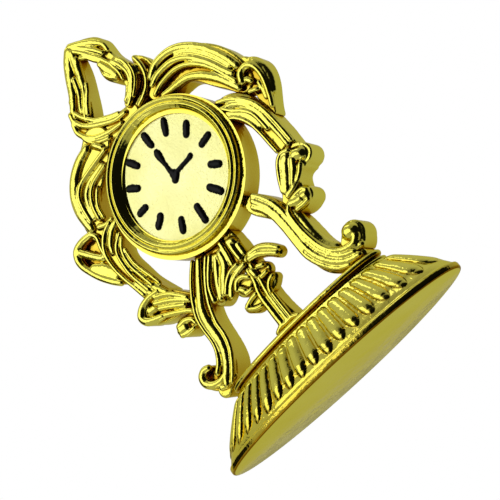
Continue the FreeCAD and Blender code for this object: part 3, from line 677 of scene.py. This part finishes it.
        (0.03, 0.9, [(-5.5, 38.0, 0.2), (-5.65, 37.0, 0.25), (-5.25, 36.0, 0.25), (-4.6, 35.2, 0.25),
                     (-3.6, 34.6, 0.22), (-2.4, 34.1, 0.2), (-1.2, 33.8, 0.18)]),
        (0.05, 0.9, [(-5.5, 36.4, 0.2), (-5.3, 35.5, 0.2), (-4.8, 34.8, 0.2), (-4.0, 34.2, 0.2),
                     (-3.2, 33.8, 0.2)])],
    "crest_collar_right": [
        (0.0, 1.0, [(4.1, 37.6, 0.18), (4.2, 36.6, 0.18), (4.1, 35.8, 0.18), (3.8, 35.0, 0.18),
                    (3.2, 34.3, 0.18), (2.3, 33.85, 0.18), (1.5, 33.6, 0.18)]),
        (0.25, 0.9, [(3.6, 37.0, 0.26), (3.5, 36.4, 0.28)]),
        (0.05, 1.0, [(3.3, 37.6, 0.14), (3.25, 36.8, 0.14), (2.95, 36.0, 0.14), (2.3, 35.3, 0.14),
                     (1.6, 34.8, 0.14)]),
        (0.3, 0.9, [(1.3, 34.0, 0.25), (2.2, 34.2, 0.25)])],
    "crest_strand_right": [
        (0.02, 0.8, [(-0.7, 44.4, 0.3), (0.2, 43.8, 0.3), (1.2, 43.0, 0.3), (1.95, 42.2, 0.3),
                     (2.4, 41.4, 0.25), (2.45, 40.6, 0.2)]),
        (0.0, 0.9, [(-0.5, 44.1, 0.25), (0.2, 43.25, 0.25), (0.9, 42.35, 0.25), (1.45, 41.5, 0.22),
                    (1.8, 40.8, 0.18)]),
        (0.0, 0.9, [(-0.6, 43.6, 0.2), (-0.1, 42.9, 0.2), (0.4, 42.0, 0.2), (0.9, 41.2, 0.2),
                    (1.3, 40.4, 0.2), (1.6, 39.6, 0.18)]),
        (0.05, 1.0, [(-0.5, 42.5, 0.15), (0.1, 41.9, 0.15), (0.6, 41.0, 0.15), (1.0, 40.4, 0.15)]),
        (0.0, 1.0, [(1.6, 39.8, 0.14), (1.8, 38.8, 0.15), (1.95, 37.8, 0.15), (1.85, 37.0, 0.14)]),
        (0.0, 1.0, [(2.05, 39.3, 0.17), (2.4, 38.4, 0.19), (2.6, 37.4, 0.19), (2.5, 36.6, 0.19),
                    (2.0, 35.9, 0.18), (1.3, 35.3, 0.2), (0.7, 35.1, 0.18)]),
        (0.02, 1.0, [(2.6, 39.1, 0.17), (2.95, 38.4, 0.19), (3.05, 37.4, 0.19), (2.9, 36.6, 0.19),
                     (2.3, 35.8, 0.19), (1.5, 35.0, 0.2), (0.6, 34.5, 0.2)])],
    "crest_strand_left": [
        (0.0, 0.6, [(-1.1, 44.2, 0.42), (-1.8, 43.4, 0.52), (-2.4, 42.5, 0.55), (-2.95, 41.6, 0.48),
                    (-3.5, 40.6, 0.42), (-4.1, 39.7, 0.36), (-4.6, 39.1, 0.3)]),
        (0.02, 0.7, [(-0.9, 43.8, 0.36), (-1.15, 42.9, 0.4), (-1.5, 41.8, 0.4), (-1.85, 40.8, 0.34),
                     (-2.1, 40.0, 0.28)]),
        (-0.04, 0.8, [(-1.0, 42.8, 0.36), (-1.1, 42.5, 0.36)]),
        (0.0, 1.0, [(-2.4, 41.4, 0.15), (-2.7, 40.4, 0.18), (-3.05, 39.6, 0.2), (-3.6, 38.8, 0.2),
                    (-3.9, 38.2, 0.18)]),
        (0.0, 1.0, [(-2.0, 40.2, 0.18), (-2.45, 39.4, 0.2), (-3.05, 38.6, 0.2), (-3.6, 37.9, 0.2),
                    (-4.0, 37.2, 0.2)]),
        (0.04, 1.0, [(-1.6, 39.9, 0.15), (-2.05, 39.2, 0.15), (-2.8, 38.4, 0.16), (-3.45, 37.5, 0.18)]),
        (0.03, 0.9, [(-4.2, 40.0, 0.2), (-4.5, 39.2, 0.2), (-4.8, 38.4, 0.2)])],
    "crest_bud": [
        (0.0, 0.6, [(0.85, 40.2, 0.3), (1.05, 39.4, 0.45), (1.3, 38.6, 0.42), (1.5, 37.9, 0.28)]),
        (0.08, 1.0, [(0.5, 39.0, 0.13), (0.85, 38.3, 0.14), (1.3, 37.7, 0.14)])],
    "centre_stem": [
        (0.0, 0.8, [(-0.5, 7.3, 0.28), (-0.5, 8.8, 0.28), (-0.5, 10.0, 0.26), (-0.4, 11.0, 0.22),
                    (-0.05, 12.0, 0.16), (0.05, 13.2, 0.15)]),
        (0.04, 0.9, [(0.2, 7.3, 0.24), (0.2, 8.8, 0.24), (0.2, 10.0, 0.22), (0.35, 11.0, 0.2),
                     (0.5, 12.0, 0.2), (0.6, 13.4, 0.2)]),
        (0.0, 1.0, [(0.65, 7.2, 0.14), (0.62, 8.8, 0.13), (0.62, 10.2, 0.13)]),
        (0.02, 1.0, [(-1.3, 6.9, 0.2), (-0.8, 7.1, 0.2), (0.0, 7.05, 0.2), (0.7, 7.05, 0.2),
                     (1.3, 6.8, 0.2)])],
    "upper_stem": [
        (0.0, 0.8, [(0.15, 14.6, 0.22), (0.15, 15.6, 0.25), (0.2, 16.6, 0.26)]),
        (-0.02, 1.0, [(0.5, 16.5, 0.3), (0.6, 16.3, 0.3)]),
        (0.2, 0.9, [(0.7, 14.8, 0.3), (0.75, 15.8, 0.3)]),
        (0.15, 0.9, [(0.3, 17.6, 0.3), (0.2, 18.2, 0.3)])],
    "horn_right": [
        (0.04, 0.9, [(1.2, 14.2, 0.2), (2.3, 13.95, 0.24), (3.2, 13.3, 0.25), (3.8, 12.6, 0.2)]),
        (0.0, 0.9, [(0.9, 13.85, 0.22), (1.8, 13.6, 0.24), (2.6, 13.05, 0.22), (3.35, 12.35, 0.2)])],
    "horn_left": [
        (0.0, 1.0, [(-0.4, 14.35, 0.14), (-1.3, 14.3, 0.15), (-2.2, 13.85, 0.16), (-3.0, 13.1, 0.16)]),
        (0.15, 0.8, [(0.1, 13.9, 0.2), (-1.1, 13.75, 0.25), (-2.1, 13.35, 0.25), (-2.8, 12.6, 0.25)])],
    "stem_bud_left": [
        (0.0, 0.9, [(-1.95, 12.6, 0.16), (-1.4, 13.15, 0.2), (-0.7, 13.1, 0.2), (-0.2, 12.6, 0.16)]),
        (0.05, 0.8, [(-1.55, 12.3, 0.28), (-1.35, 11.95, 0.28)]),
        (0.05, 1.0, [(-1.4, 11.65, 0.15), (-0.7, 11.6, 0.15)])],
    "stem_bud_right": [
        (0.0, 0.8, [(0.35, 12.85, 0.3), (0.45, 12.3, 0.3)]),
        (0.03, 0.9, [(1.1, 12.75, 0.18), (1.6, 12.5, 0.2)]),
        (0.05, 1.0, [(0.8, 11.8, 0.15), (1.5, 11.8, 0.15)])],
    "stem_leaf_left": [
        (0.0, 1.0, [(-2.2, 10.65, 0.16), (-1.5, 10.9, 0.2), (-0.7, 11.0, 0.2)]),
        (0.05, 1.0, [(-2.1, 10.4, 0.14), (-1.5, 10.0, 0.16), (-0.9, 9.8, 0.16)])],
    "stem_leaf_right": [
        (0.0, 1.0, [(0.65, 10.1, 0.14), (0.75, 10.5, 0.15), (1.2, 10.95, 0.17), (1.7, 11.1, 0.16)])],
    "web_leaf": [
        (0.15, 0.9, [(-2.2, 17.0, 0.2), (-3.2, 16.0, 0.22), (-4.1, 14.9, 0.22), (-4.55, 13.6, 0.25)]),
        (0.25, 0.8, [(-1.8, 16.6, 0.28), (-2.5, 15.6, 0.32), (-3.2, 14.6, 0.3), (-3.9, 13.3, 0.25)]),
        (0.15, 0.6, [(-1.2, 16.5, 0.32), (-1.5, 15.4, 0.42), (-2.4, 14.4, 0.4), (-3.3, 13.4, 0.25)]),
        (0.2, 0.8, [(-0.6, 17.2, 0.25), (-0.7, 16.0, 0.25), (-0.9, 14.8, 0.2)])],
}


def strands_of(node, runs):
    """The tubes of a node's strands, laid on its front face."""
    front = box_mm(node)[0][1]
    tubes = []
    for behind, fat, run in runs:
        path = curve_through(run, 8)
        half = path[:, 2] + SPREAD
        deep = np.maximum(half * fat, THINNEST)
        crest = np.full(len(path), front + max(behind, 0.01))
        rows = np.column_stack([path[:, 0] + DIAL_X, path[:, 1], half, crest, deep])
        tubes.append(tube(rows, STRAND_AROUND))
    return tubes


for node, runs in STRANDS.items():
    parts = [cad_copy(node, DEEP_DROP.get(node, BACKING_DROP))] + strands_of(node, runs)
    finish_piece(soften(node + "_skin", parts, GOLD, SCROLL_VOXEL, SCROLL_PASSES), node)

# ------------------------------------------------------------ floor, light, camera
FLOOR_Z = -0.00002               # just under the foot, metres
FLOOR_REACH = 0.6
FLOOR_STEPS = 180


def floor():
    """A pale floor, clear from below, with an opening under the foot.

    The opening lies just inside the foot's rim and lets the underside see the light from below."""
    m, nodes, links, shader = new_material("studio_floor")
    shader.inputs["Base Color"].default_value = (0.93, 0.93, 0.92, 1)
    shader.inputs["Roughness"].default_value = 0.6
    geometry = nodes.new("ShaderNodeNewGeometry")
    clear = nodes.new("ShaderNodeBsdfTransparent")
    mix = nodes.new("ShaderNodeMixShader")
    links.new(geometry.outputs["Backfacing"], mix.inputs["Fac"])
    links.new(shader.outputs["BSDF"], mix.inputs[1])
    links.new(clear.outputs["BSDF"], mix.inputs[2])
    links.new(mix.outputs["Shader"], nodes["Material Output"].inputs["Surface"])
    opening = FOOT - RIM * 0.9
    verts, faces = [], []
    for k in range(FLOOR_STEPS):
        angle = 2 * math.pi * k / FLOOR_STEPS
        c, s = math.cos(angle), math.sin(angle)
        verts.append(((FOOT_X + opening[0] * c) * MM, opening[1] * s * MM, FLOOR_Z))
        verts.append((FLOOR_REACH * c, FLOOR_REACH * s, FLOOR_Z))
    for k in range(FLOOR_STEPS):
        n = (k + 1) % FLOOR_STEPS
        faces.append((2 * k, 2 * k + 1, 2 * n + 1, 2 * n))
    obj = new_object("floor", verts, faces, m, False)
    obj.visible_glossy = False


floor()

DARK_SIDE = (0.69, -0.69, -0.20)     # direction of the dark doorway
DARK_CARD = (-0.95, -0.12, 0.20)     # direction of a small dark card


def studio_world():
    """White to the eye; to the metal, grey paper all round but for a dark doorway and a card."""
    world = bpy.data.worlds.new("studio")
    scene.world = world
    world.use_nodes = True
    nodes, links = world.node_tree.nodes, world.node_tree.links
    seen = nodes["Background"]
    seen.inputs["Color"].default_value = (1, 1, 1, 1)
    seen.inputs["Strength"].default_value = 1.0
    coords = nodes.new("ShaderNodeTexCoord")

    def by_angle(direction, stops):
        """Colour by the cosine of the angle from a direction."""
        toward = nodes.new("ShaderNodeVectorMath")
        toward.operation = "DOT_PRODUCT"
        links.new(coords.outputs["Generated"], toward.inputs[0])
        toward.inputs[1].default_value = direction
        return ramp(nodes, links, toward.outputs["Value"], stops).outputs["Color"]

    doorway = by_angle(DARK_SIDE, [
        (0.0, (0.46, 0.46, 0.46, 1)), (0.30, (0.38, 0.38, 0.38, 1)), (0.54, (0.28, 0.28, 0.28, 1)),
        (0.62, (0.008, 0.008, 0.008, 1)), (1.0, (0.004, 0.004, 0.004, 1))])
    card = by_angle(DARK_CARD, [(0.0, (1, 1, 1, 1)), (0.90, (1, 1, 1, 1)), (0.93, (0.02, 0.02, 0.02, 1))])
    room = nodes.new("ShaderNodeBackground")
    links.new(multiplied(nodes, links, doorway, card), room.inputs["Color"])
    path = nodes.new("ShaderNodeLightPath")
    mix = nodes.new("ShaderNodeMixShader")
    links.new(path.outputs["Is Camera Ray"], mix.inputs["Fac"])
    links.new(room.outputs["Background"], mix.inputs[1])
    links.new(seen.outputs["Background"], mix.inputs[2])
    links.new(mix.outputs["Shader"], nodes["World Output"].inputs["Surface"])


studio_world()

SOFTBOX_AT = 0.5                 # distance of the lights from the clock's middle, metres


def softbox(name, direction, size, glow, mirrored=True):
    """A rectangular light in a direction from the clock; glow is its brightness as seen."""
    middle = Vector((0, 0, DIAL_Z * MM))
    data = bpy.data.lights.new(name, "AREA")
    data.shape = "RECTANGLE"
    data.size, data.size_y = size
    data.energy = glow * size[0] * size[1] * math.pi
    obj = bpy.data.objects.new(name, data)
    scene.collection.objects.link(obj)
    obj.location = middle + Vector(direction).normalized() * SOFTBOX_AT
    obj.rotation_euler = (middle - obj.location).to_track_quat("-Z", "Y").to_euler()
    obj.visible_camera = False
    obj.visible_glossy = mirrored


softbox("key", (-0.42, -0.80, 0.42), (0.34, 0.28), 1.08)
softbox("low", (-0.62, -0.45, -0.66), (0.26, 0.08), 0.9)
softbox("top", (-0.1, -0.2, 0.97), (0.4, 0.12), 1.0)
softbox("fill", (-0.1, -0.85, 0.5), (0.5, 0.5), 2.2, mirrored=False)

# degrees round from straight ahead, up from level, and roll of the view
CAM_AZIMUTH, CAM_ELEVATION, CAM_ROLL = 22.063, -21.465, -37.851
CAM_FROM_DIAL = Vector((37.82, -89.66, -49.02))      # from the middle of the dial floor, mm
camera_data = bpy.data.cameras.new("camera")
camera_data.lens = 82.49
camera_data.sensor_width = 36
camera_data.clip_start = 0.005
camera = bpy.data.objects.new("camera", camera_data)
scene.collection.objects.link(camera)
place = (Vector((DIAL_X, DIAL_FLOOR, DIAL_Z)) + CAM_FROM_DIAL) * MM
facing = (Matrix.Rotation(math.radians(CAM_AZIMUTH), 4, "Z")
          @ Matrix.Rotation(math.radians(90 - CAM_ELEVATION), 4, "X")
          @ Matrix.Rotation(math.radians(CAM_ROLL), 4, "Z"))
camera.matrix_world = Matrix.Translation(place) @ facing
scene.camera = camera
scene.view_settings.view_transform = "Standard"
